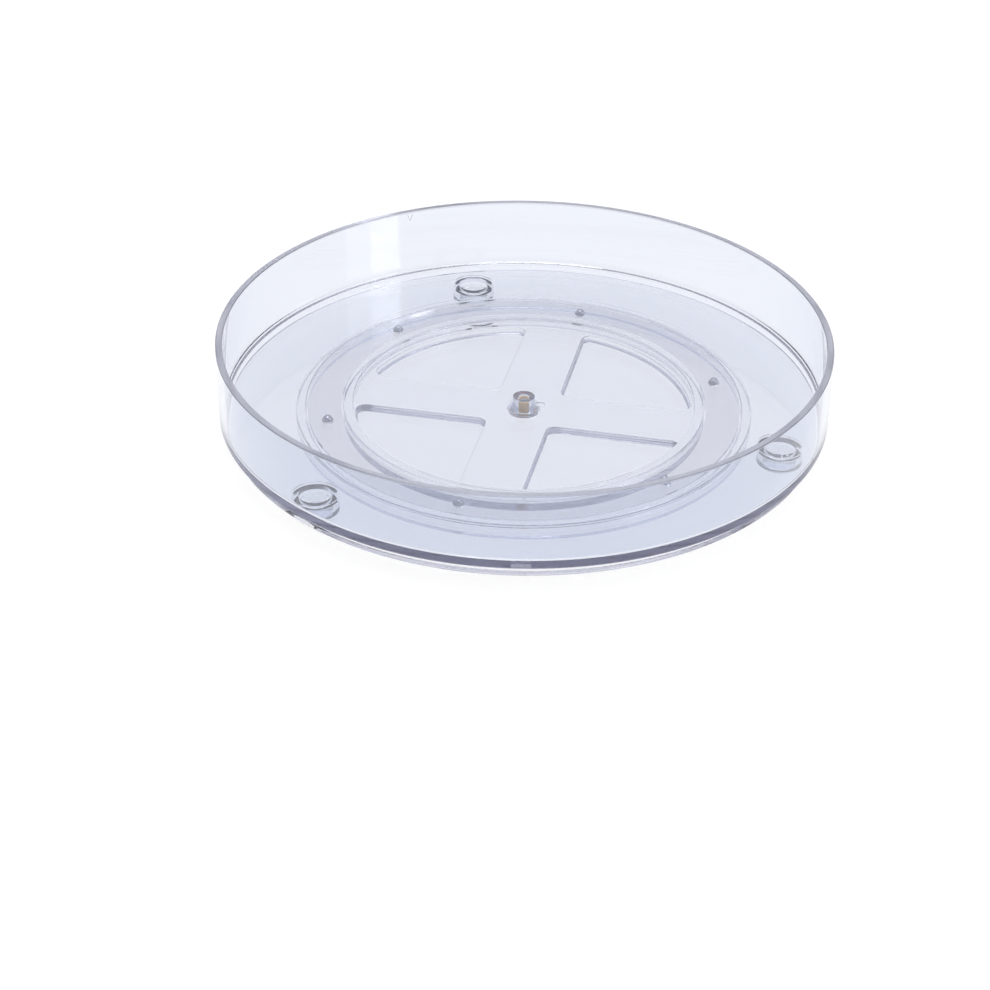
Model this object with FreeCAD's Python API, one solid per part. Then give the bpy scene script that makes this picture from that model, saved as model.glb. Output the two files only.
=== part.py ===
"""Turning vanity tray: a clear round tray on a clear base, carried by six steel balls.

The frame has +Z up and its origin on the table, under the pivot. All sizes are in millimetres.
The base stands on three silicone feet. The balls roll in a channel of the base under the
tray's flat floor, spaced by a thin cage, and one screw under the hub keeps the tray on.
"""
import FreeCAD
import Part

import math
import os

# ---- tray ----
TRAY_R = 145.0              # outside radius of the wall
TRAY_DEPTH = 37.0           # from the underside of the floor to the rim
TRAY_WALL = 3.2
TRAY_FLOOR = 2.4
TRAY_RIM_ROUND = 0.5        # fillet on both edges of the rim
TRAY_INNER_ROUND = 2.5      # fillet where the floor meets the wall inside
TRAY_OUTER_ROUND = 1.2      # fillet round the bottom edge outside

# ---- base ----
BASE_INSET = 3.7            # the base's edge lies this far inside the tray's outside radius
BASE_T = 2.5                # moulded thickness of plate, channel floor, arms and webs
PLATE_TOP = 9.7             # height of the outer plate's top face
RACE_DEPTH = 1.46           # the channel's floor lies this far under the plate's top
RACE_OUTER = 9.4            # channel half-width, from the balls' circle outwards
RACE_INNER = 8.3            # channel half-width, from the balls' circle inwards
RING_WALL = 4.65            # wall outside the channel
RING_RISE = 1.5             # that wall stands this far above the plate
RING_WALL_BOTTOM = 2.2
LIP_WALL = 4.8              # wall inside the channel, which stands up as a lip
LIP_TO_TRAY = 0.8           # running gap between the lip and the tray's floor
WEB_BOTTOM = 1.6
WEB_STEP = 2.8              # the four arms stand this far above the sunk fields
ARM_WIDTH = 29.5
ARM_ANGLE = 6.0             # degrees from +X to the first arm
ARM_COUNT = 4
FIELD_CORNER = 4.5          # corner radius of the sunk fields
FIELD_LEDGE = 1.2           # from the fields to the lip
FIELD_ROUND = 1.8           # fillet along the fields' floor
EDGE_ROUND = 0.6            # small fillet on the base's exposed edges

# ---- feet ----
FOOT_COUNT = 3
FOOT_INSET = 16.5           # from the base's edge to a foot's centre
FOOT_TO_RING = 5.55         # clear plate between a foot socket and the ring wall
SOCKET_R = 10.5
SOCKET_WALL = 3.0
SOCKET_RISE = 0.7           # the socket's rim stands this far above the plate
SOCKET_BOTTOM = 1.0         # height of the sockets above the table
PAD_FLANGE_R = 9.6
PAD_STEM_TOP = 6.6          # height of the pad's stem inside the socket
PAD_DIMPLE_R = 4.5
PAD_DIMPLE = 0.6
PAD_GAP = 0.05              # radial gap between stem and socket

# ---- balls and cage ----
BALL_D = 4.76               # 3/16 inch ball
BALL_COUNT = 6
BALL_ANGLE = 30.0           # degrees from +X to the first ball
CAGE_T = 2.0
CAGE_GAP = 0.3              # cage to channel floor, and ball to its hole
CAGE_OUTER_GAP = 0.9        # cage to the channel's outer wall
CAGE_INNER_GAP = 0.9        # cage to the lip

# ---- pivot ----
BOSS_R = 5.2
BORE_GAP = 0.08             # running gap between boss and hub bore, on the radius
HUB_R = 8.4                 # low collar round the bore
HUB_WALL = 1.4
HUB_RISE = 0.5              # the hub's collar stands this far above the arms
HUB_RECESS = 2.0            # depth of the round recess under the hub, which holds the washer
HUB_RECESS_R = 8.0
GATE_R = 2.5                # shallow round gate mark beside the collar
GATE_DEPTH = 0.5
GATE_OFFSET = 8.4           # from the pivot's axis
GATE_ANGLE = 36.0
HUB_PLAY = 0.3              # lift that the washer leaves the tray
INSERT_R = 2.6
INSERT_LENGTH = 7.5
INSERT_INSET = 0.5          # insert's lower end above the boss's end
INSERT_HOLE_SPARE = 0.7     # blind hole above the insert
INSERT_GROOVE = 0.4
INSERT_GROOVE_WIDTH = 1.2
FIT_GAP = 0.02              # between insert and boss, and between screw and insert
SCREW_R = 1.5
SCREW_SHORT = 0.8           # screw's tip under the insert's top
SCREW_HEAD_R = 3.2
SCREW_HEAD = 1.6
SCREW_SLOT_WIDTH = 0.9
SCREW_SLOT_LENGTH = 4.0
SCREW_SLOT_DEPTH = 0.8
WASHER_R = 7.0
WASHER_T = 0.8
WASHER_HOLE_GAP = 0.15

# ---- worked out from the sizes above ----
RACE_Z = PLATE_TOP - RACE_DEPTH
TRAY_Z = RACE_Z + BALL_D                       # underside of the tray's floor
RIM_Z = TRAY_Z + TRAY_DEPTH
BASE_R = TRAY_R - BASE_INSET
FOOT_CIRCLE_R = BASE_R - FOOT_INSET
RING_OUT_R = FOOT_CIRCLE_R - SOCKET_R - FOOT_TO_RING
RING_IN_R = RING_OUT_R - RING_WALL
RING_TOP = PLATE_TOP + RING_RISE
BALL_CIRCLE_R = RING_IN_R - RACE_OUTER
LIP_OUT_R = BALL_CIRCLE_R - RACE_INNER
LIP_IN_R = LIP_OUT_R - LIP_WALL
LIP_TOP = TRAY_Z - LIP_TO_TRAY
FIELD_Z = WEB_BOTTOM + BASE_T
ARM_TOP = FIELD_Z + WEB_STEP
HUB_BOTTOM = WEB_BOTTOM + HUB_RECESS
BOSS_END = HUB_BOTTOM - HUB_PLAY
INSERT_BOTTOM = BOSS_END + INSERT_INSET
INSERT_TOP = INSERT_BOTTOM + INSERT_LENGTH
WASHER_BOTTOM = BOSS_END - WASHER_T
CAGE_BOTTOM = RACE_Z + CAGE_GAP

UP = FreeCAD.Vector(0, 0, 1)
ORIGIN = FreeCAD.Vector(0, 0, 0)


def cylinder(radius, low, high, x=0.0, y=0.0):
    """A solid cylinder standing between two heights."""
    return Part.makeCylinder(radius, high - low, FreeCAD.Vector(x, y, low), UP)


def tube(outer, inner, low, high, x=0.0, y=0.0):
    """A straight tube standing between two heights."""
    return cylinder(outer, low, high, x, y).cut(cylinder(inner, low, high, x, y))


def turned(outline):
    """A solid turned about the Z axis from (radius, height) corners."""
    corners = [FreeCAD.Vector(radius, 0, height) for radius, height in outline]
    face = Part.Face(Part.makePolygon(corners + corners[:1]))
    return face.revolve(ORIGIN, UP, 360)


def round_circles(shape, size, circles):
    """Fillets the circular edges that are centred on the Z axis at each (radius, height)."""
    picked = []
    for edge in shape.Edges:
        if not isinstance(edge.Curve, Part.Circle):
            continue
        centre = edge.Curve.Center
        if math.hypot(centre.x, centre.y) > 0.01:
            continue
        for radius, height in circles:
            if abs(edge.Curve.Radius - radius) < 0.01 and abs(centre.z - height) < 0.01:
                picked.append(edge)
    return shape.makeFillet(size, picked)


def turn(shape, degrees):
    """A copy of the shape turned about the Z axis."""
    copy = shape.copy()
    copy.rotate(ORIGIN, UP, degrees)
    return copy


def around(count, first=0.0):
    """Angles in degrees of equal places round the Z axis."""
    return [first + 360.0 * index / count for index in range(count)]


def place(radius, degrees):
    """X and Y of a point on a circle about the Z axis."""
    angle = math.radians(degrees)
    return radius * math.cos(angle), radius * math.sin(angle)


def tray():
    """Flat floor, upright wall with a rounded rim, and the pivot boss under the centre."""
    inner_r = TRAY_R - TRAY_WALL
    floor_top = TRAY_Z + TRAY_FLOOR
    shell = turned([
        (0, TRAY_Z),
        (TRAY_R, TRAY_Z),
        (TRAY_R, RIM_Z),
        (inner_r, RIM_Z),
        (inner_r, floor_top),
        (0, floor_top),
    ])
    shell = round_circles(shell, TRAY_RIM_ROUND, [(TRAY_R, RIM_Z), (inner_r, RIM_Z)])
    shell = round_circles(shell, TRAY_INNER_ROUND, [(inner_r, floor_top)])
    shell = round_circles(shell, TRAY_OUTER_ROUND, [(TRAY_R, TRAY_Z)])
    shell = shell.fuse(cylinder(BOSS_R, BOSS_END, TRAY_Z + TRAY_FLOOR / 2))
    return shell.cut(cylinder(INSERT_R + FIT_GAP, BOSS_END, INSERT_TOP + INSERT_HOLE_SPARE))


def base_ring():
    """Outer plate, ball channel with its two walls, and the disc that the arms are cut from."""
    race_under = RACE_Z - BASE_T
    plate_under = PLATE_TOP - BASE_T
    blank = turned([
        (0, WEB_BOTTOM),
        (LIP_OUT_R, WEB_BOTTOM),
        (LIP_OUT_R, race_under),
        (RING_IN_R, race_under),
        (RING_IN_R, RING_WALL_BOTTOM),
        (RING_OUT_R, RING_WALL_BOTTOM),
        (RING_OUT_R, plate_under),
        (BASE_R, plate_under),
        (BASE_R, PLATE_TOP),
        (RING_OUT_R, PLATE_TOP),
        (RING_OUT_R, RING_TOP),
        (RING_IN_R, RING_TOP),
        (RING_IN_R, RACE_Z),
        (LIP_OUT_R, RACE_Z),
        (LIP_OUT_R, LIP_TOP),
        (LIP_IN_R, LIP_TOP),
        (LIP_IN_R, ARM_TOP),
        (0, ARM_TOP),
    ])
    return round_circles(blank, EDGE_ROUND, [
        (LIP_OUT_R, WEB_BOTTOM),
        (RING_IN_R, RING_WALL_BOTTOM),
        (RING_OUT_R, RING_WALL_BOTTOM),
        (BASE_R, plate_under),
        (BASE_R, PLATE_TOP),
        (RING_OUT_R, RING_TOP),
        (RING_IN_R, RING_TOP),
        (LIP_OUT_R, LIP_TOP),
        (LIP_IN_R, LIP_TOP),
    ])


def field_pocket():
    """The space above one sunk field between two arms, with rounded corners and floor."""
    half = ARM_WIDTH / 2
    corner = FreeCAD.Vector(half, half, FIELD_Z)
    block = Part.makeBox(LIP_IN_R, LIP_IN_R, WEB_STEP, corner)
    pocket = block.common(cylinder(LIP_IN_R - FIELD_LEDGE, FIELD_Z, ARM_TOP))
    upright = [edge for edge in pocket.Edges if abs(edge.BoundBox.ZLength - WEB_STEP) < 0.01]
    pocket = pocket.makeFillet(FIELD_CORNER, upright)
    floor_edges = [edge for edge in pocket.Edges if edge.BoundBox.ZMax < FIELD_Z + 0.01]
    return pocket.makeFillet(FIELD_ROUND, floor_edges)


def round_arm_edges(shape):
    """Fillets the top edges of the arms along the sunk fields."""
    picked = []
    for edge in shape.Edges:
        box = edge.BoundBox
        level = abs(box.ZMin - ARM_TOP) < 0.01 and abs(box.ZMax - ARM_TOP) < 0.01
        middle = edge.CenterOfMass
        reach = math.hypot(middle.x, middle.y)
        if level and HUB_R < reach < LIP_IN_R - FIELD_LEDGE / 2:
            picked.append(edge)
    return shape.makeFillet(EDGE_ROUND, picked)


def base():
    """The whole base moulding: ring, arms, hub and foot sockets."""
    body = base_ring()
    pocket = field_pocket()
    for degrees in around(ARM_COUNT, ARM_ANGLE):
        body = body.cut(turn(pocket, degrees))
    body = round_arm_edges(body)
    body = body.fuse(tube(HUB_R, HUB_R - HUB_WALL, ARM_TOP - BASE_T / 2, ARM_TOP + HUB_RISE))
    gate_x, gate_y = place(GATE_OFFSET, GATE_ANGLE)
    body = body.cut(cylinder(GATE_R, ARM_TOP - GATE_DEPTH, ARM_TOP + HUB_RISE, gate_x, gate_y))
    body = body.cut(cylinder(HUB_RECESS_R, WEB_BOTTOM, HUB_BOTTOM))
    body = body.cut(cylinder(BOSS_R + BORE_GAP, HUB_BOTTOM, ARM_TOP))
    for degrees in around(FOOT_COUNT):
        x, y = place(FOOT_CIRCLE_R, degrees)
        body = body.fuse(cylinder(SOCKET_R, SOCKET_BOTTOM, PLATE_TOP + SOCKET_RISE, x, y))
    for degrees in around(FOOT_COUNT):
        x, y = place(FOOT_CIRCLE_R, degrees)
        bore_r = SOCKET_R - SOCKET_WALL
        body = body.cut(cylinder(bore_r, SOCKET_BOTTOM, PLATE_TOP + SOCKET_RISE, x, y))
    return body.removeSplitter()


def foot_pad():
    """A soft foot: a flange on the table under the socket and a stem that plugs into it."""
    stem_r = SOCKET_R - SOCKET_WALL - PAD_GAP
    pad = turned([
        (0, PAD_DIMPLE),
        (PAD_DIMPLE_R, PAD_DIMPLE),
        (PAD_DIMPLE_R, 0),
        (PAD_FLANGE_R, 0),
        (PAD_FLANGE_R, SOCKET_BOTTOM),
        (stem_r, SOCKET_BOTTOM),
        (stem_r, PAD_STEM_TOP),
        (0, PAD_STEM_TOP),
    ])
    return round_circles(pad, EDGE_ROUND / 2, [(PAD_FLANGE_R, 0), (stem_r, PAD_STEM_TOP)])


def ball_cage():
    """A flat ring with one hole for each ball, lying low in the channel."""
    outer = RING_IN_R - CAGE_OUTER_GAP
    inner = LIP_OUT_R + CAGE_INNER_GAP
    ring = tube(outer, inner, CAGE_BOTTOM, CAGE_BOTTOM + CAGE_T)
    for degrees in around(BALL_COUNT, BALL_ANGLE):
        x, y = place(BALL_CIRCLE_R, degrees)
        ring = ring.cut(cylinder(BALL_D / 2 + CAGE_GAP, CAGE_BOTTOM, CAGE_BOTTOM + CAGE_T, x, y))
    return ring


def ball(degrees):
    """One steel ball, standing on the channel's floor and touching the tray's floor."""
    x, y = place(BALL_CIRCLE_R, degrees)
    return Part.makeSphere(BALL_D / 2, FreeCAD.Vector(x, y, RACE_Z + BALL_D / 2))


def threaded_insert():
    """The brass sleeve pressed into the boss, with a groove round its middle."""
    middle = (INSERT_BOTTOM + INSERT_TOP) / 2
    half = INSERT_GROOVE_WIDTH / 2
    bore = SCREW_R + FIT_GAP
    return turned([
        (bore, INSERT_BOTTOM),
        (INSERT_R, INSERT_BOTTOM),
        (INSERT_R, middle - half),
        (INSERT_R - INSERT_GROOVE, middle - half),
        (INSERT_R - INSERT_GROOVE, middle + half),
        (INSERT_R, middle + half),
        (INSERT_R, INSERT_TOP),
        (bore, INSERT_TOP),
    ])


def pivot_washer():
    """The washer on the boss's end, wider than the hub's bore, which keeps the tray on."""
    return tube(WASHER_R, SCREW_R + WASHER_HOLE_GAP, WASHER_BOTTOM, BOSS_END)


def pivot_screw():
    """A pan-head screw that enters the insert from below."""
    head_bottom = WASHER_BOTTOM - SCREW_HEAD
    head = cylinder(SCREW_HEAD_R, head_bottom, WASHER_BOTTOM)
    head = round_circles(head, SCREW_HEAD / 2, [(SCREW_HEAD_R, head_bottom)])
    screw = head.fuse(cylinder(SCREW_R, WASHER_BOTTOM, INSERT_TOP - SCREW_SHORT))
    for degrees in (0, 90):
        corner = FreeCAD.Vector(-SCREW_SLOT_LENGTH / 2, -SCREW_SLOT_WIDTH / 2, head_bottom)
        slot = Part.makeBox(SCREW_SLOT_LENGTH, SCREW_SLOT_WIDTH, SCREW_SLOT_DEPTH, corner)
        screw = screw.cut(turn(slot, degrees))
    return screw


def save(name, shape):
    """Writes one piece, and stops if it isn't one sound solid."""
    if len(shape.Solids) != 1 or not shape.isValid():
        raise ValueError(f"{name} has {len(shape.Solids)} solids, valid: {shape.isValid()}")
    shape.Solids[0].exportStep(f"parts/{name}.step")


def main():
    os.makedirs("parts", exist_ok=True)
    save("tray", tray())
    save("base", base())
    save("ball_cage", ball_cage())
    for number, degrees in enumerate(around(BALL_COUNT, BALL_ANGLE), start=1):
        save(f"ball_{number}", ball(degrees))
    pad = foot_pad()
    for number, degrees in enumerate(around(FOOT_COUNT), start=1):
        x, y = place(FOOT_CIRCLE_R, degrees)
        save(f"foot_pad_{number}", pad.translated(FreeCAD.Vector(x, y, 0)))
    save("threaded_insert", threaded_insert())
    save("pivot_washer", pivot_washer())
    save("pivot_screw", pivot_screw())


main()
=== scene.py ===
import math

import bmesh
import bpy
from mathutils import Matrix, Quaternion, Vector


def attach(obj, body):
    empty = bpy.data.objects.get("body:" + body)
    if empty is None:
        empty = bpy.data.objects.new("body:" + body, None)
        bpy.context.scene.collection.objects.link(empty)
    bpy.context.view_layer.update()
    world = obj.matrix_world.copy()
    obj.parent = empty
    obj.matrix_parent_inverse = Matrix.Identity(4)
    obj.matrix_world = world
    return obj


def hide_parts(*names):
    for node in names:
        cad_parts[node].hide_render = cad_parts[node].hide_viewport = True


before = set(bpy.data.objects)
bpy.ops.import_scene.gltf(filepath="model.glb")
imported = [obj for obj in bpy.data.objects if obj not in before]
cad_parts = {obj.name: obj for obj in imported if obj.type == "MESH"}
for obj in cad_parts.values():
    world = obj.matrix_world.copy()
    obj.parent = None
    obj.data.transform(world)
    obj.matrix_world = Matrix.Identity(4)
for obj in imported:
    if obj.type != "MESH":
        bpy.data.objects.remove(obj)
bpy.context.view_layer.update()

# ---- camera ----
CAMERA_AZIMUTH = math.radians(17.3)
CAMERA_ELEVATION = math.radians(29.95)
CAMERA_ROLL = math.radians(0.946)
CAMERA_DISTANCE = 1.0846
CAMERA_TARGET = Vector((0, 0, 0.0145))
CAMERA_LENS = 82.33
CAMERA_SHIFT = (-0.0292, -0.0999)

# ---- sizes repeated from the CAD, in millimetres ----
TRAY_R = 145.0
TRAY_WALL = 3.2
TRAY_UNDER = 13.0           # underside of the tray's floor
FLOOR_TOP = 15.4
RIM_TOP = 50.0
RIM_ROUND = 0.5
INNER_ROUND = 2.5
OUTER_ROUND = 1.2
BOSS_R = 5.2
BOSS_END = 3.33             # 0.03 above the washer, so that no two faces coincide
INSERT_HOLE_R = 2.62
INSERT_HOLE_TOP = 12.0
INSERT_R = 2.6
INSERT_LOW = 3.8
INSERT_HIGH = 11.3
INSERT_BORE = 1.52
SCREW_R = 1.5
SCREW_TIP = 10.5
WASHER_LOW = 2.5
HEAD_R = 3.2
HEAD_LOW = 0.9
BASE_R = 141.3
PLATE_TOP = 9.7
PLATE_UNDER = 7.2
RACE_TOP = 8.24
RACE_UNDER = 5.74
RING_OUT_R = 108.75
RING_IN_R = 104.1
RING_LOW = 2.2
RING_TOP = 11.2
LIP_OUT_R = 86.4
LIP_IN_R = 81.6
LIP_TOP = 12.2
WEB_UNDER = 1.6
FIELD_TOP = 4.1
ARM_TOP = 6.9
ARM_WIDTH = 29.5
ARM_ANGLE = 6.0             # degrees to the first arm
ARM_COUNT = 4
FIELD_R = 80.4
FIELD_CORNER = 4.5
FIELD_ROUND = 1.8
EDGE_ROUND = 0.6
HUB_R = 8.4
HUB_INNER_R = 7.0
HUB_TOP = 7.4
HUB_UNDER = 3.6
HUB_RECESS_R = 8.0
HUB_BORE_R = 5.28
HUB_MARK_R = 2.5
HUB_MARK_DEPTH = 0.5
HUB_MARK_OFFSET = 8.4
HUB_MARK_ANGLE = 36.0
SOCKET_R = 10.5
SOCKET_BORE_R = 7.5
SOCKET_LOW = 1.0
SOCKET_TOP = 10.4
FOOT_CIRCLE_R = 124.8
FOOT_COUNT = 3
PAD_FLANGE_R = 9.6
PAD_STEM_R = 7.45
PAD_SHELF = 1.0             # top of the flange, under the socket
PAD_TOP = 6.6
PAD_DIMPLE_R = 4.5
PAD_DIMPLE = 0.6
BALL_R = 2.38
BALL_HEIGHT = 10.62         # of a ball's centre
BALL_CIRCLE_R = 94.7
BALL_ANGLE = 30.0           # degrees to the first ball
BALL_COUNT = 6

# ---- detail that only the visual pieces have ----
TURNED_SEGMENTS = 720
BASE_SEGMENTS = 480
SMALL_SEGMENTS = 96
BALL_STEPS = 32
SUPPORT = 0.1               # extra loops this near each end of a straight run keep it flat
ARC_STEPS = 8
CREASE = 32                 # degrees; sharper edges aren't smoothed
RUN_LEAST = 1               # shortest straight run that gets the extra loops
FIELD_CORNER_STEPS = 10     # round a field's corner by the hub
FIELD_FAR_STEPS = 12        # round its two corners by the lip
FIELD_ARC_STEPS = 100
FIELD_MIDDLE = 0.45         # where the cutter's closing faces meet, as a share of its radius
CUT_SPARE = 1               # a cutter reaches this far past what it cuts
THREAD_PITCH = 0.5
THREAD_DEPTH = 0.28
THREAD_TAPER = 0.6          # last length over which the thread fades out
KNURL_TEETH = 30
KNURL_DEPTH = 0.18
KNURL_ROWS = 60
KNURL_STEPS = 6             # segments to a tooth
KNURL_FLAT = 0.4            # share of each tooth left uncut
KNURL_END = 0.05            # extra depth at both ends of the sleeve
INSERT_GROOVE = 0.4
INSERT_GROOVE_HALF = 0.6
CROSS_LENGTH = 1.9          # half length of the screw's cross recess
CROSS_WIDTH = 0.42
CROSS_DEPTH = 0.9
CROSS_SLOPE = 0.35          # share of the depth lost at the end of each arm
HEAD_CURVE = 0.8            # round of the head's lower edge
HEAD_STEPS = 40
THREAD_ROWS = 8             # rows to a turn of the thread
TIP_SHARE = 0.7             # width of the screw's tip against its shank
TIP_LENGTH = 0.4
PAD_GROOVE = 0.2            # depth and half width of the grooves under a foot
PAD_GROOVE_RADII = (5.6, 6.8, 8.0)
PAD_ROUND = 0.3
GATE_TURN = 132.7           # degrees round the rim to the little moulding mark
GATE_LOW = 4.8              # from the rim down to the mark's point
GATE_TALL = 3.2
GATE_HALF = 1.3
GATE_LINE = 0.35            # width of each stroke
GATE_PROUD = 0.35
GATE_TOP = 0.4              # half width of a stroke's top, against half a stroke
GATE_OFF = 0.01             # gap from the wall, so that no two faces coincide

PRISM_FACES = (
    (0, 1, 2, 3), (4, 5, 6, 7), (0, 1, 5, 4), (1, 2, 6, 5), (2, 3, 7, 6), (3, 0, 4, 7),
)

# ---- look ----
PLASTIC_IOR = 1.50
SILICONE_IOR = 1.41
RIPPLE = 0.006              # depth of the moulding ripple, in millimetres
MOULDING_HAZE = 0.012       # highest roughness of the polished mouldings
CAGE_HAZE = 0.06
TRAY_TINTS = (0.838, 0.864, 0.928), (0.858, 0.882, 0.938)
BASE_TINTS = (0.960, 0.965, 0.982), (0.972, 0.976, 0.990)
CAGE_TINTS = (0.875, 0.862, 0.880), (0.902, 0.888, 0.902)
SILICONE_TINTS = (0.97, 0.97, 0.985), (0.99, 0.99, 1.0)
BALL_TINTS = (0.40, 0.40, 0.43), (0.58, 0.58, 0.61)
SCREW_TINTS = (0.50, 0.50, 0.52), (0.70, 0.70, 0.71)
BRASS_TINTS = (0.95, 0.60, 0.26), (1.0, 0.78, 0.44)
NYLON_TINTS = (0.86, 0.86, 0.87), (0.94, 0.94, 0.95)
# painted shade: the rim's top is coloured darker, standing in for the dark band that refraction
# makes along the rim
RIM_PAINTED_SHADE = (0.63, 0.64, 0.71)
RIM_SATIN = 0.3             # roughness added on the rim's top
DEPTH_TINT = (0.62, 0.62, 0.69)
TRAY_DENSITY = 14
BASE_DENSITY = 12
SILICONE_DEPTH_TINT = (0.90, 0.90, 0.93)
SILICONE_DENSITY = 4

# ---- stage ----
WORLD_COLOUR = (0.93, 0.94, 1.0)
WORLD_FRONT, WORLD_BACK = 0.60, 1.0
WORLD_BLEND = 0.8           # the change from front to back fills this much of each side
FLOOR_REACH, FLOOR_HEIGHT = 6.0, -0.0005
FLOOR_GREY, FLOOR_GLOW = 0.18, 0.89
SOFTBOX_HEIGHT, SOFTBOX_SIZE, SOFTBOX_POWER = 2.2, (1.0, 1.0), 14
WINDOW_LIFT = 30            # degrees above the table
WINDOW_BEARING, WINDOW_DISTANCE = 119.0, 1.8
WINDOW_SIZE, WINDOW_POWER = (0.36, 0.5), 2.0
GLOW_BEARING, GLOW_DISTANCE = 113.6, 1.85
GLOW_SIZE, GLOW_POWER = (0.74, 0.6), 2.4
CLEAR_BOUNCES = 64          # clear pieces inside one another need long light paths

MM = 0.001
scene = bpy.context.scene


# ---- meshes ----

def arc_between(corner, before, after, radius):
    """Points of a fillet at a corner of a (radius, height) outline."""
    here = Vector(corner)
    back = (Vector(before) - here).normalized()
    ahead = (Vector(after) - here).normalized()
    half = back.angle(ahead) / 2
    reach = radius / math.tan(half)
    centre = here + (back + ahead).normalized() * (radius / math.sin(half))
    start = here + back * reach - centre
    end = here + ahead * reach - centre
    first = math.atan2(start.y, start.x)
    sweep = math.remainder(math.atan2(end.y, end.x) - first, 2 * math.pi)
    points = []
    for step in range(ARC_STEPS + 1):
        angle = first + sweep * step / ARC_STEPS
        points.append((centre.x + radius * math.cos(angle), centre.y + radius * math.sin(angle)))
    return points


def supported(outline):
    """The outline with a point just inside both ends of every longer straight run."""
    points = []
    for index, point in enumerate(outline):
        here = Vector(point)
        run = Vector(outline[(index + 1) % len(outline)]) - here
        points.append(point)
        if run.length > RUN_LEAST:
            step = run.normalized() * SUPPORT
            points.append(tuple(here + step))
            points.append(tuple(here + run - step))
    return points


def rounded(corners):
    """A closed outline from (radius, height, fillet) corners."""
    outline = []
    for index, (radius, height, fillet) in enumerate(corners):
        if fillet == 0:
            outline.append((radius, height))
            continue
        before = corners[index - 1][:2]
        after = corners[(index + 1) % len(corners)][:2]
        outline += arc_between((radius, height), before, after, fillet)
    return outline


def circle(radius, height, segments):
    """Points round Z, or a single point where the radius is zero."""
    if radius < 0.0001:
        return [(0, 0, height)]
    points = []
    for index in range(segments):
        angle = 2 * math.pi * index / segments
        points.append((radius * math.cos(angle), radius * math.sin(angle), height))
    return points


def skinned_mesh(name, rings, looped):
    """Joins each ring of points to the next, and the last to the first if looped."""
    vertices, faces, firsts = [], [], []
    for ring in rings:
        firsts.append(len(vertices))
        vertices += [(x * MM, y * MM, z * MM) for x, y, z in ring]
    last = len(rings) if looped else len(rings) - 1
    for index in range(last):
        other = (index + 1) % len(rings)
        here, there = len(rings[index]), len(rings[other])
        if here == there == 1:
            continue
        count = max(here, there)
        for side in range(count):
            after = (side + 1) % count
            quad = [
                firsts[index] + side % here,
                firsts[index] + after % here,
                firsts[other] + after % there,
                firsts[other] + side % there,
            ]
            faces.append(list(dict.fromkeys(quad)))
    return finished_mesh(name, vertices, faces)


def turned_mesh(name, outline, segments):
    """A solid of revolution about Z from a closed (radius, height) outline."""
    rings = [circle(radius, height, segments) for radius, height in outline]
    return skinned_mesh(name, rings, True)


def finished_mesh(name, vertices, faces):
    """A mesh with outward faces, smooth but for edges sharper than the crease angle."""
    mesh = bpy.data.meshes.new(name)
    mesh.from_pydata(vertices, [], faces)
    work = bmesh.new()
    work.from_mesh(mesh)
    bmesh.ops.recalc_face_normals(work, faces=work.faces)
    work.to_mesh(mesh)
    work.free()
    mesh.shade_smooth()
    mesh.set_sharp_from_angle(angle=math.radians(CREASE))
    return mesh


def add_piece(name, mesh, material, body, replaced=(), place=(0, 0, 0)):
    """Puts a finished mesh in the scene, on its body and with its material."""
    piece = bpy.data.objects.new(name, mesh)
    piece.location = [value * MM for value in place]
    scene.collection.objects.link(piece)
    mesh.materials.append(material)
    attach(piece, body)
    if replaced:
        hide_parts(*replaced)
    return piece


# ---- node helpers ----

def new_material(name):
    """An empty node material with a Principled shader joined to its output."""
    material = bpy.data.materials.new(name)
    material.use_nodes = True
    nodes, links = material.node_tree.nodes, material.node_tree.links
    nodes.clear()
    shader = nodes.new("ShaderNodeBsdfPrincipled")
    output = nodes.new("ShaderNodeOutputMaterial")
    links.new(shader.outputs[0], output.inputs["Surface"])
    return material, shader, output


def grain(material, scale, detail=2.0, stretch=(1, 1, 1)):
    """Noise in the piece's own coordinates; scale is in features to the metre."""
    nodes, links = material.node_tree.nodes, material.node_tree.links
    where = nodes.new("ShaderNodeTexCoord")
    mapping = nodes.new("ShaderNodeMapping")
    mapping.inputs["Scale"].default_value = stretch
    noise = nodes.new("ShaderNodeTexNoise")
    noise.inputs["Scale"].default_value = scale
    noise.inputs["Detail"].default_value = detail
    links.new(where.outputs["Object"], mapping.inputs["Vector"])
    links.new(mapping.outputs["Vector"], noise.inputs["Vector"])
    return noise.outputs["Fac"]


def vary_roughness(material, shader, pattern, low, high):
    """Drives the roughness from low to high with the pattern."""
    nodes, links = material.node_tree.nodes, material.node_tree.links
    ramp = nodes.new("ShaderNodeMapRange")
    ramp.inputs["From Min"].default_value = 0.3
    ramp.inputs["From Max"].default_value = 0.7
    ramp.inputs["To Min"].default_value = low
    ramp.inputs["To Max"].default_value = high
    links.new(pattern, ramp.inputs["Value"])
    links.new(ramp.outputs["Result"], shader.inputs["Roughness"])


def vary_colour(material, shader, pattern, first, second):
    """Mixes the base colour between two tints with the pattern."""
    nodes, links = material.node_tree.nodes, material.node_tree.links
    mix = nodes.new("ShaderNodeMix")
    mix.data_type = "RGBA"
    mix.inputs["A"].default_value = (*first, 1)
    mix.inputs["B"].default_value = (*second, 1)
    links.new(pattern, mix.inputs["Factor"])
    links.new(mix.outputs["Result"], shader.inputs["Base Color"])


def add_bump(material, shader, pattern, depth):
    """A surface relief of the pattern, with its depth in millimetres."""
    nodes, links = material.node_tree.nodes, material.node_tree.links
    bump = nodes.new("ShaderNodeBump")
    bump.inputs["Strength"].default_value = 1
    bump.inputs["Distance"].default_value = depth * MM
    links.new(pattern, bump.inputs["Height"])
    links.new(bump.outputs["Normal"], shader.inputs["Normal"])


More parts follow.
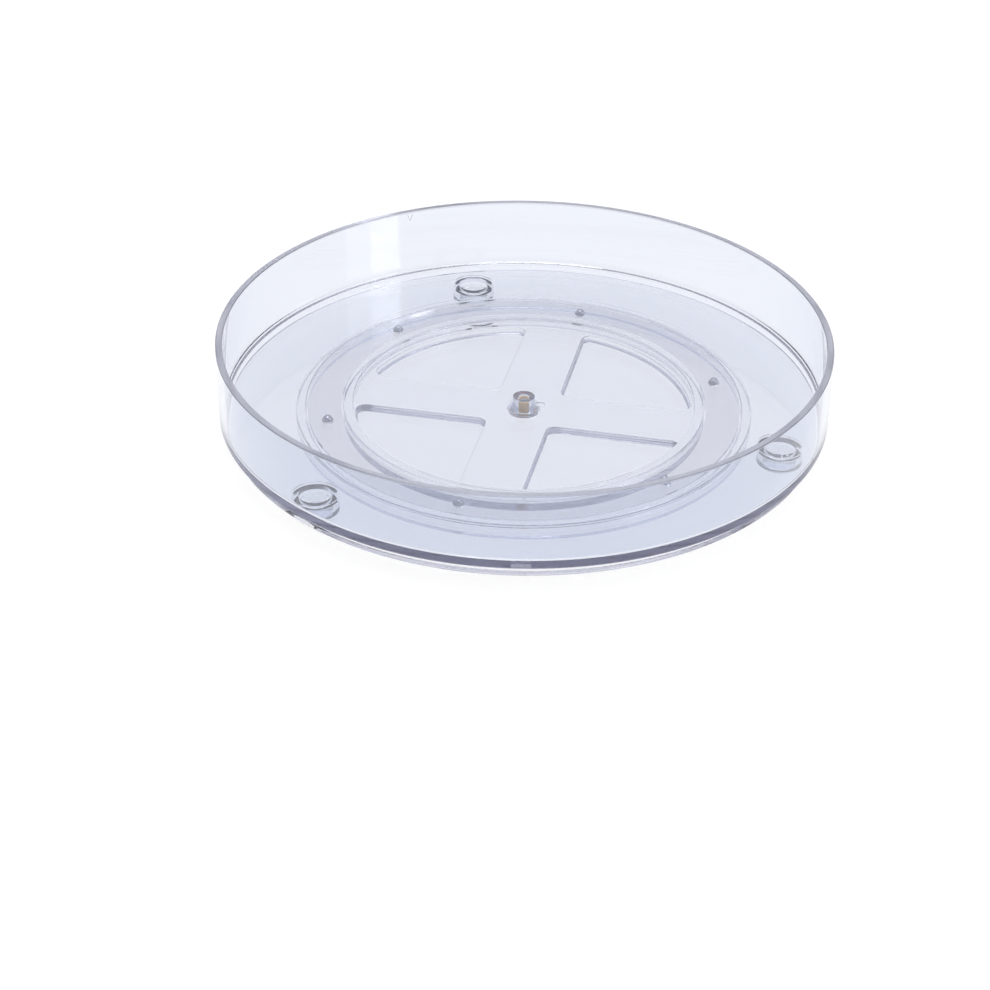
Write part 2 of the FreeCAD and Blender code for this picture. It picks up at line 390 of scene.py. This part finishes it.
def absorb(material, output, colour, density):
    """Tints light by how far it travels inside the piece."""
    nodes, links = material.node_tree.nodes, material.node_tree.links
    body = nodes.new("ShaderNodeVolumeAbsorption")
    body.inputs["Color"].default_value = (*colour, 1)
    body.inputs["Density"].default_value = density
    links.new(body.outputs[0], output.inputs["Volume"])


# ---- materials ----

def clear_plastic(name, first, second, haze, density):
    """Polished clear moulding with flow ripple, faint haze and a lavender depth."""
    material, shader, output = new_material(name)
    shader.inputs["Transmission Weight"].default_value = 1
    shader.inputs["IOR"].default_value = PLASTIC_IOR
    vary_colour(material, shader, grain(material, 14), first, second)
    vary_roughness(material, shader, grain(material, 60, 4), 0, haze)
    add_bump(material, shader, grain(material, 34, 1), RIPPLE)
    absorb(material, output, DEPTH_TINT, density)
    return material


def add_satin_rim_with_painted_shade(material):
    """Makes the trimmed top of the rim slightly matt, and paints shade on it: a darker colour
    standing in for the dark band that refraction makes along the rim.
    """
    nodes, links = material.node_tree.nodes, material.node_tree.links
    shader = nodes["Principled BSDF"]
    where = nodes.new("ShaderNodeTexCoord")
    split = nodes.new("ShaderNodeSeparateXYZ")
    on_rim = nodes.new("ShaderNodeMapRange")
    on_rim.inputs["From Min"].default_value = (RIM_TOP - 2 * RIM_ROUND) * MM
    on_rim.inputs["From Max"].default_value = (RIM_TOP - RIM_ROUND) * MM
    # painted shade: mixes the rim's darker colour into the clear plastic's own colour
    painted_shade = nodes.new("ShaderNodeMix")
    painted_shade.data_type = "RGBA"
    painted_shade.inputs["B"].default_value = (*RIM_PAINTED_SHADE, 1)
    dull = nodes.new("ShaderNodeMath")
    dull.operation = "MULTIPLY_ADD"
    dull.inputs[1].default_value = RIM_SATIN
    clear_colour = shader.inputs["Base Color"].links[0].from_socket
    clear_roughness = shader.inputs["Roughness"].links[0].from_socket
    links.new(where.outputs["Object"], split.inputs[0])
    links.new(split.outputs["Z"], on_rim.inputs["Value"])
    links.new(on_rim.outputs["Result"], painted_shade.inputs["Factor"])
    links.new(clear_colour, painted_shade.inputs["A"])
    links.new(painted_shade.outputs["Result"], shader.inputs["Base Color"])
    links.new(on_rim.outputs["Result"], dull.inputs[0])
    links.new(clear_roughness, dull.inputs[2])
    links.new(dull.outputs[0], shader.inputs["Roughness"])


def clear_silicone():
    """Soft clear rubber with a slightly cloudy, waxy skin."""
    material, shader, output = new_material("clear_silicone")
    shader.inputs["Transmission Weight"].default_value = 1
    shader.inputs["IOR"].default_value = SILICONE_IOR
    vary_colour(material, shader, grain(material, 260), *SILICONE_TINTS)
    vary_roughness(material, shader, grain(material, 900, 3), 0.02, 0.10)
    add_bump(material, shader, grain(material, 1400, 2), 0.01)
    absorb(material, output, SILICONE_DEPTH_TINT, SILICONE_DENSITY)
    return material


def polished_steel():
    """Bearing steel with fine circular wear and a few duller patches."""
    material, shader, _ = new_material("ball_steel")
    shader.inputs["Metallic"].default_value = 1
    vary_colour(material, shader, grain(material, 700, 3), *BALL_TINTS)
    vary_roughness(material, shader, grain(material, 2600, 4, (1, 1, 6)), 0.02, 0.06)
    add_bump(material, shader, grain(material, 3000, 3, (1, 1, 5)), 0.002)
    return material


def plated_steel():
    """Zinc-plated screw steel, grey with a mottled sheen."""
    material, shader, _ = new_material("plated_steel")
    shader.inputs["Metallic"].default_value = 1
    vary_colour(material, shader, grain(material, 900, 4), *SCREW_TINTS)
    vary_roughness(material, shader, grain(material, 1800, 4), 0.18, 0.36)
    add_bump(material, shader, grain(material, 4000, 2), 0.004)
    return material


def turned_brass():
    """Brass of the pressed-in insert, warm and slightly tarnished."""
    material, shader, _ = new_material("turned_brass")
    shader.inputs["Metallic"].default_value = 1
    vary_colour(material, shader, grain(material, 800, 4), *BRASS_TINTS)
    vary_roughness(material, shader, grain(material, 2000, 3, (1, 1, 8)), 0.16, 0.34)
    add_bump(material, shader, grain(material, 2400, 2, (1, 1, 10)), 0.006)
    return material


def white_nylon():
    """Natural white nylon of the sliding washer."""
    material, shader, _ = new_material("white_nylon")
    shader.inputs["Subsurface Weight"].default_value = 0.3
    shader.inputs["Subsurface Scale"].default_value = 0.001
    vary_colour(material, shader, grain(material, 600, 3), *NYLON_TINTS)
    vary_roughness(material, shader, grain(material, 1500, 3), 0.35, 0.55)
    add_bump(material, shader, grain(material, 2500, 2), 0.008)
    return material


# ---- refined pieces ----

def add_tray(material):
    """The tray: floor, upright wall with a flat rim, and the boss with its blind hole."""
    inner_r = TRAY_R - TRAY_WALL
    outline = supported(rounded([
        (0, FLOOR_TOP, 0),
        (inner_r, FLOOR_TOP, INNER_ROUND),
        (inner_r, RIM_TOP, RIM_ROUND),
        (TRAY_R, RIM_TOP, RIM_ROUND),
        (TRAY_R, TRAY_UNDER, OUTER_ROUND),
        (BOSS_R, TRAY_UNDER, 0),
        (BOSS_R, BOSS_END, 0),
        (INSERT_HOLE_R, BOSS_END, 0),
        (INSERT_HOLE_R, INSERT_HOLE_TOP, 0),
        (0, INSERT_HOLE_TOP, 0),
    ]))
    mesh = turned_mesh("tray_shell", outline, TURNED_SEGMENTS)
    add_piece("tray_shell", mesh, material, "tray", ["tray"])


def base_outline():
    """Section of the base from its bore to its edge: hub, web, lip, channel, ring and plate."""
    return supported(rounded([
        (HUB_BORE_R, HUB_UNDER, 0),
        (HUB_RECESS_R, HUB_UNDER, 0),
        (HUB_RECESS_R, WEB_UNDER, 0),
        (LIP_OUT_R, WEB_UNDER, EDGE_ROUND),
        (LIP_OUT_R, RACE_UNDER, 0),
        (RING_IN_R, RACE_UNDER, 0),
        (RING_IN_R, RING_LOW, EDGE_ROUND),
        (RING_OUT_R, RING_LOW, EDGE_ROUND),
        (RING_OUT_R, PLATE_UNDER, 0),
        (BASE_R, PLATE_UNDER, EDGE_ROUND),
        (BASE_R, PLATE_TOP, EDGE_ROUND),
        (RING_OUT_R, PLATE_TOP, 0),
        (RING_OUT_R, RING_TOP, EDGE_ROUND),
        (RING_IN_R, RING_TOP, EDGE_ROUND),
        (RING_IN_R, RACE_TOP, 0),
        (LIP_OUT_R, RACE_TOP, 0),
        (LIP_OUT_R, LIP_TOP, EDGE_ROUND),
        (LIP_IN_R, LIP_TOP, EDGE_ROUND),
        (LIP_IN_R, ARM_TOP, 0),
        (HUB_R, ARM_TOP, 0),
        (HUB_R, HUB_TOP, 0),
        (HUB_INNER_R, HUB_TOP, 0),
        (HUB_INNER_R, ARM_TOP, 0),
        (HUB_BORE_R, ARM_TOP, 0),
    ]))


def arc_points(centre, radius, first, last, steps):
    """Points on an arc, each as (x, y, outward x, outward y); angles in radians."""
    points = []
    for step in range(steps + 1):
        angle = first + (last - first) * step / steps
        out_x, out_y = math.cos(angle), math.sin(angle)
        points.append((centre[0] + radius * out_x, centre[1] + radius * out_y, out_x, out_y))
    return points


def field_border():
    """The rounded border of the sunk field between two arms, anticlockwise."""
    near = ARM_WIDTH / 2 + FIELD_CORNER
    far = math.sqrt((FIELD_R - FIELD_CORNER) ** 2 - near ** 2)
    lean = math.atan2(near, far)
    quarter = math.pi / 2
    border = arc_points((near, near), FIELD_CORNER, 2 * quarter, 3 * quarter, FIELD_CORNER_STEPS)
    border += arc_points((far, near), FIELD_CORNER, -quarter, lean, FIELD_FAR_STEPS)
    border += arc_points((0, 0), FIELD_R, lean, quarter - lean, FIELD_ARC_STEPS)[1:-1]
    border += arc_points((near, far), FIELD_CORNER, quarter - lean, 2 * quarter, FIELD_FAR_STEPS)
    return border


def field_cutter():
    """The space above a sunk field: round at its floor, flared over the arms' edges."""
    steps = [(EDGE_ROUND, ARM_TOP + CUT_SPARE)]
    for step in range(ARC_STEPS, -1, -1):
        angle = math.pi / 2 * step / ARC_STEPS
        out = EDGE_ROUND * (1 - math.cos(angle))
        steps.append((out, ARM_TOP - EDGE_ROUND * (1 - math.sin(angle))))
    for step in range(ARC_STEPS + 1):
        angle = math.pi / 2 * step / ARC_STEPS
        out = -FIELD_ROUND * (1 - math.cos(angle))
        steps.append((out, FIELD_TOP + FIELD_ROUND * (1 - math.sin(angle))))
    border = field_border()
    rings = []
    for out, height in steps:
        rings.append([(x + out_x * out, y + out_y * out, height) for x, y, out_x, out_y in border])
    centre = (FIELD_R * FIELD_MIDDLE, FIELD_R * FIELD_MIDDLE)
    rings.insert(0, [(*centre, ARM_TOP + CUT_SPARE)])
    rings.append([(*centre, FIELD_TOP)])
    return skinned_mesh("field_cutter", rings, False)


def disc_mesh(radius, low, high, segments):
    """A straight round block, used only to join or cut."""
    corners = [(0, low), (radius, low), (radius, high), (0, high)]
    return turned_mesh("block", corners, segments)


def combine(piece, mesh, operation, place=(0, 0, 0), turn=0):
    """Joins a mesh to the piece or cuts it away, and keeps only the result."""
    tool = bpy.data.objects.new("tool", mesh)
    tool.location = [value * MM for value in place]
    tool.rotation_euler.z = math.radians(turn)
    scene.collection.objects.link(tool)
    change = piece.modifiers.new("change", "BOOLEAN")
    change.operation = operation
    change.solver = "EXACT"
    change.object = tool
    settle(piece)
    bpy.data.objects.remove(tool)


def settle(piece):
    """Applies the piece's modifiers to its mesh."""
    bpy.context.view_layer.update()
    evaluated = piece.evaluated_get(bpy.context.evaluated_depsgraph_get())
    mesh = bpy.data.meshes.new_from_object(evaluated)
    piece.modifiers.clear()
    piece.data = mesh


def around_circle(radius, degrees):
    """A place on a circle about the pivot."""
    angle = math.radians(degrees)
    return radius * math.cos(angle), radius * math.sin(angle), 0


def add_base(material):
    """The base: turned section, four sunk fields, the hub's gate mark and the foot sockets."""
    mesh = turned_mesh("base_moulding", base_outline(), BASE_SEGMENTS)
    piece = bpy.data.objects.new("base_moulding", mesh)
    scene.collection.objects.link(piece)
    field = field_cutter()
    for number in range(ARM_COUNT):
        combine(piece, field, "DIFFERENCE", turn=ARM_ANGLE + 360 / ARM_COUNT * number)
    mark_top = HUB_TOP + CUT_SPARE
    mark = disc_mesh(HUB_MARK_R, ARM_TOP - HUB_MARK_DEPTH, mark_top, SMALL_SEGMENTS)
    combine(piece, mark, "DIFFERENCE", around_circle(HUB_MARK_OFFSET, HUB_MARK_ANGLE))
    socket = disc_mesh(SOCKET_R, SOCKET_LOW, SOCKET_TOP, SMALL_SEGMENTS)
    bore_ends = SOCKET_LOW - CUT_SPARE, SOCKET_TOP + CUT_SPARE
    bore = disc_mesh(SOCKET_BORE_R, *bore_ends, SMALL_SEGMENTS)
    for number in range(FOOT_COUNT):
        place = around_circle(FOOT_CIRCLE_R, 360 / FOOT_COUNT * number)
        combine(piece, socket, "UNION", place)
        combine(piece, bore, "DIFFERENCE", place)
    piece.data.shade_smooth()
    piece.data.set_sharp_from_angle(angle=math.radians(CREASE))
    weigh = piece.modifiers.new("weigh", "WEIGHTED_NORMAL")
    weigh.keep_sharp = True
    settle(piece)
    piece.data.materials.clear()
    piece.data.materials.append(material)
    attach(piece, "base")
    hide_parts("base")


def add_gate_mark(material):
    """The small V left by moulding on the inside of the wall, just under the rim."""
    inner_r = TRAY_R - TRAY_WALL
    stroke = (-1, 0.0), (1, 0.0), (GATE_TOP, GATE_PROUD), (-GATE_TOP, GATE_PROUD)
    vertices, faces = [], []
    for side in (-1, 1):
        first = len(vertices)
        for across, up in ((0, 0), (side * GATE_HALF, GATE_TALL)):
            for edge, depth in stroke:
                along = across + edge * GATE_LINE / 2
                angle = math.radians(GATE_TURN) + along / inner_r
                radius = (inner_r - GATE_OFF - depth) * MM
                height = (RIM_TOP - GATE_LOW + up) * MM
                vertices.append((radius * math.cos(angle), radius * math.sin(angle), height))
        faces += [[first + i for i in face] for face in PRISM_FACES]
    mesh = finished_mesh("gate_mark", vertices, faces)
    add_piece("gate_mark", mesh, material, "tray")


def add_balls(material):
    """The bearing balls, each between the channel and the tray's floor."""
    outline = [(0, -BALL_R)]
    for step in range(1, BALL_STEPS):
        angle = math.pi * step / BALL_STEPS
        outline.append((BALL_R * math.sin(angle), -BALL_R * math.cos(angle)))
    outline.append((0, BALL_R))
    for number in range(BALL_COUNT):
        node = f"ball_{number + 1}"
        x, y, _ = around_circle(BALL_CIRCLE_R, BALL_ANGLE + 360 / BALL_COUNT * number)
        mesh = turned_mesh(node, outline, SMALL_SEGMENTS)
        place = (x, y, BALL_HEIGHT)
        add_piece("bearing_" + node, mesh, material, node, [node], place)


def add_foot_pads(material):
    """Three soft feet: grooved flange with a dimple below, and a stem in the socket."""
    corners = [(0, PAD_DIMPLE, 0), (PAD_DIMPLE_R, PAD_DIMPLE, 0), (PAD_DIMPLE_R, 0, 0)]
    for radius in PAD_GROOVE_RADII:
        corners += [
            (radius - PAD_GROOVE, 0, 0),
            (radius, PAD_GROOVE, 0),
            (radius + PAD_GROOVE, 0, 0),
        ]
    corners += [
        (PAD_FLANGE_R, 0, PAD_ROUND),
        (PAD_FLANGE_R, PAD_SHELF, 0),
        (PAD_STEM_R, PAD_SHELF, 0),
        (PAD_STEM_R, PAD_TOP, PAD_ROUND),
        (0, PAD_TOP, 0),
    ]
    outline = supported(rounded(corners))
    for number in range(FOOT_COUNT):
        place = around_circle(FOOT_CIRCLE_R, 360 / FOOT_COUNT * number)
        name = f"grooved_foot_{number + 1}"
        mesh = turned_mesh(name, outline, SMALL_SEGMENTS)
        replaced = [f"foot_pad_{number + 1}"]
        add_piece(name, mesh, material, "base", replaced, place)


def knurl_depth(angle, height):
    """How far the knurled sleeve is cut in at a place on its side."""
    around = angle * KNURL_TEETH / (2 * math.pi)
    along = height * KNURL_TEETH / (2 * math.pi * INSERT_R)
    cuts = [abs((line % 1) - 0.5) * 2 for line in (around + along, around - along)]
    return KNURL_DEPTH * max(0, max(cuts) - KNURL_FLAT) / (1 - KNURL_FLAT)


def add_insert(material):
    """The brass sleeve: knurled outside, with a plain groove round its middle."""
    segments = KNURL_TEETH * KNURL_STEPS
    middle = (INSERT_LOW + INSERT_HIGH) / 2
    rings = [circle(INSERT_BORE, INSERT_LOW, segments)]
    for row in range(KNURL_ROWS + 1):
        height = INSERT_LOW + (INSERT_HIGH - INSERT_LOW) * row / KNURL_ROWS
        end = row in (0, KNURL_ROWS)
        ring = []
        for x, y, z in circle(1, height, segments):
            cut = knurl_depth(math.atan2(y, x), height)
            if end:
                cut = KNURL_DEPTH + KNURL_END
            if abs(height - middle) < INSERT_GROOVE_HALF:
                cut = INSERT_GROOVE
            ring.append((x * (INSERT_R - cut), y * (INSERT_R - cut), z))
        rings.append(ring)
    rings.append(circle(INSERT_BORE, INSERT_HIGH, segments))
    mesh = skinned_mesh("knurled_insert", rings, True)
    add_piece("knurled_insert", mesh, material, "tray", ["threaded_insert"])


def thread_radius(angle, height):
    """Radius of the screw's shank, with a V thread that fades out at both ends."""
    turn = (height / THREAD_PITCH - angle / (2 * math.pi)) % 1
    end = min(height - WASHER_LOW, SCREW_TIP - height) / THREAD_TAPER
    depth = THREAD_DEPTH * min(1, max(0, end))
    return SCREW_R - depth * (1 - abs(turn - 0.5) * 2)


def head_rings():
    """The screw's pan head from its middle outwards, with a cross recess."""
    rings = [[(0, 0, HEAD_LOW + CROSS_DEPTH)]]
    flat_r = HEAD_R - HEAD_CURVE
    for step in range(1, HEAD_STEPS + 1):
        ring = []
        for x, y, z in circle(flat_r * step / HEAD_STEPS, HEAD_LOW, SMALL_SEGMENTS):
            across, along = sorted((abs(x), abs(y)))
            inside = across < CROSS_WIDTH and along < CROSS_LENGTH
            deep = CROSS_DEPTH * (1 - CROSS_SLOPE * along / CROSS_LENGTH)
            ring.append((x, y, z + deep if inside else z))
        rings.append(ring)
    for step in range(1, ARC_STEPS + 1):
        angle = math.pi / 2 * step / ARC_STEPS
        radius = flat_r + HEAD_CURVE * math.sin(angle)
        height = HEAD_LOW + HEAD_CURVE * (1 - math.cos(angle))
        rings.append(circle(radius, height, SMALL_SEGMENTS))
    rings.append(circle(HEAD_R, WASHER_LOW, SMALL_SEGMENTS))
    return rings


def add_screw(material):
    """The pivot screw: pan head with a cross recess below, and a threaded shank."""
    rings = head_rings()
    rows = int((SCREW_TIP - WASHER_LOW) / THREAD_PITCH * THREAD_ROWS)
    for row in range(rows + 1):
        height = WASHER_LOW + (SCREW_TIP - WASHER_LOW) * row / rows
        ring = []
        for x, y, z in circle(1, height, SMALL_SEGMENTS):
            radius = thread_radius(math.atan2(y, x), height)
            ring.append((x * radius, y * radius, z))
        rings.append(ring)
    rings.append(circle(SCREW_R * TIP_SHARE, SCREW_TIP + TIP_LENGTH, SMALL_SEGMENTS))
    rings.append([(0, 0, SCREW_TIP + TIP_LENGTH)])
    mesh = skinned_mesh("pan_head_screw", rings, False)
    add_piece("pan_head_screw", mesh, material, "tray", ["pivot_screw"])


def dress(node, material):
    """Gives a CAD node its finished material."""
    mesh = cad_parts[node].data
    mesh.materials.clear()
    mesh.materials.append(material)


# ---- floor, lights and camera ----

def add_floor():
    """A plain pale table, far larger than the view."""
    corners = [(-1, -1), (1, -1), (1, 1), (-1, 1)]
    mesh = bpy.data.meshes.new("floor")
    vertices = [(x * FLOOR_REACH, y * FLOOR_REACH, FLOOR_HEIGHT) for x, y in corners]
    mesh.from_pydata(vertices, [], [(0, 1, 2, 3)])
    floor = bpy.data.objects.new("floor", mesh)
    scene.collection.objects.link(floor)
    material, shader, _ = new_material("floor_white")
    shader.inputs["Base Color"].default_value = (FLOOR_GREY, FLOOR_GREY, FLOOR_GREY, 1)
    shader.inputs["Roughness"].default_value = 1
    shader.inputs["Specular IOR Level"].default_value = 0
    shader.inputs["Emission Color"].default_value = (1, 1, 1, 1)
    shader.inputs["Emission Strength"].default_value = FLOOR_GLOW
    mesh.materials.append(material)


def around_table(bearing, height, distance):
    """A place seen from the pivot: bearing 0 is behind the object, 90 to the camera's right."""
    right = Vector((math.cos(CAMERA_AZIMUTH), math.sin(CAMERA_AZIMUTH), 0))
    away = Vector((-math.sin(CAMERA_AZIMUTH), math.cos(CAMERA_AZIMUTH), 0))
    angle, lift = math.radians(bearing), math.radians(height)
    level = right * math.sin(angle) + away * math.cos(angle)
    return (level * math.cos(lift) + Vector((0, 0, math.sin(lift)))) * distance


def add_area(name, place, size, power):
    """A rectangular light that faces the object."""
    data = bpy.data.lights.new(name, "AREA")
    data.shape = "RECTANGLE"
    data.size, data.size_y = size
    data.energy = power
    light = bpy.data.objects.new(name, data)
    light.location = place
    light.rotation_mode = "QUATERNION"
    light.rotation_quaternion = (-Vector(place)).to_track_quat("-Z", "Y")
    scene.collection.objects.link(light)


def add_lights():
    """A softbox overhead, and a window at the side with a softer glow round it."""
    window = around_table(WINDOW_BEARING, WINDOW_LIFT, WINDOW_DISTANCE)
    glow = around_table(GLOW_BEARING, WINDOW_LIFT, GLOW_DISTANCE)
    add_area("top_softbox", (0, 0, SOFTBOX_HEIGHT), SOFTBOX_SIZE, SOFTBOX_POWER)
    add_area("window", window, WINDOW_SIZE, WINDOW_POWER)
    add_area("window_glow", glow, GLOW_SIZE, GLOW_POWER)


def add_world():
    """Even pale surroundings, dimmer on the photographer's side."""
    world = bpy.data.worlds.new("studio")
    world.use_nodes = True
    nodes, links = world.node_tree.nodes, world.node_tree.links
    background = nodes["Background"]
    where = nodes.new("ShaderNodeTexCoord")
    toward = nodes.new("ShaderNodeVectorMath")
    toward.operation = "DOT_PRODUCT"
    toward.inputs[1].default_value = (-math.sin(CAMERA_AZIMUTH), math.cos(CAMERA_AZIMUTH), 0)
    ramp = nodes.new("ShaderNodeMapRange")
    ramp.inputs["From Min"].default_value = -WORLD_BLEND
    ramp.inputs["From Max"].default_value = WORLD_BLEND
    ramp.inputs["To Min"].default_value = WORLD_FRONT
    ramp.inputs["To Max"].default_value = WORLD_BACK
    ramp.interpolation_type = "SMOOTHSTEP"
    links.new(where.outputs["Generated"], toward.inputs[0])
    links.new(toward.outputs["Value"], ramp.inputs["Value"])
    links.new(ramp.outputs["Result"], background.inputs["Strength"])
    background.inputs["Color"].default_value = (*WORLD_COLOUR, 1)
    scene.world = world


def add_camera():
    """The photographer's view."""
    data = bpy.data.cameras.new("camera")
    data.sensor_width = 36
    data.lens = CAMERA_LENS
    data.shift_x, data.shift_y = CAMERA_SHIFT
    camera = bpy.data.objects.new("camera", data)
    scene.collection.objects.link(camera)
    flat = math.cos(CAMERA_ELEVATION)
    back = Vector((
        math.sin(CAMERA_AZIMUTH) * flat,
        -math.cos(CAMERA_AZIMUTH) * flat,
        math.sin(CAMERA_ELEVATION),
    ))
    camera.location = CAMERA_TARGET + back * CAMERA_DISTANCE
    camera.rotation_mode = "QUATERNION"
    roll = Quaternion((0, 0, 1), CAMERA_ROLL)
    camera.rotation_quaternion = (-back).to_track_quat("-Z", "Y") @ roll
    scene.camera = camera


def set_light_paths():
    """Clear pieces one inside another need long light paths."""
    scene.view_settings.view_transform = "Standard"
    scene.cycles.max_bounces = CLEAR_BOUNCES
    scene.cycles.transmission_bounces = CLEAR_BOUNCES
    scene.cycles.glossy_bounces = CLEAR_BOUNCES
    scene.cycles.diffuse_bounces = 8
    scene.cycles.transparent_max_bounces = 24


def dress_object():
    """Materials for every piece, and the refined pieces."""
    tray_plastic = clear_plastic("tray_plastic", *TRAY_TINTS, MOULDING_HAZE, TRAY_DENSITY)
    base_plastic = clear_plastic("base_plastic", *BASE_TINTS, MOULDING_HAZE, BASE_DENSITY)
    cage_plastic = clear_plastic("cage_plastic", *CAGE_TINTS, CAGE_HAZE, BASE_DENSITY)
    add_gate_mark(tray_plastic)
    add_satin_rim_with_painted_shade(tray_plastic)
    add_tray(tray_plastic)
    add_insert(turned_brass())
    add_screw(plated_steel())
    add_foot_pads(clear_silicone())
    add_base(base_plastic)
    dress("ball_cage", cage_plastic)
    dress("pivot_washer", white_nylon())
    add_balls(polished_steel())


set_light_paths()
add_camera()
add_floor()
add_world()
add_lights()
dress_object()
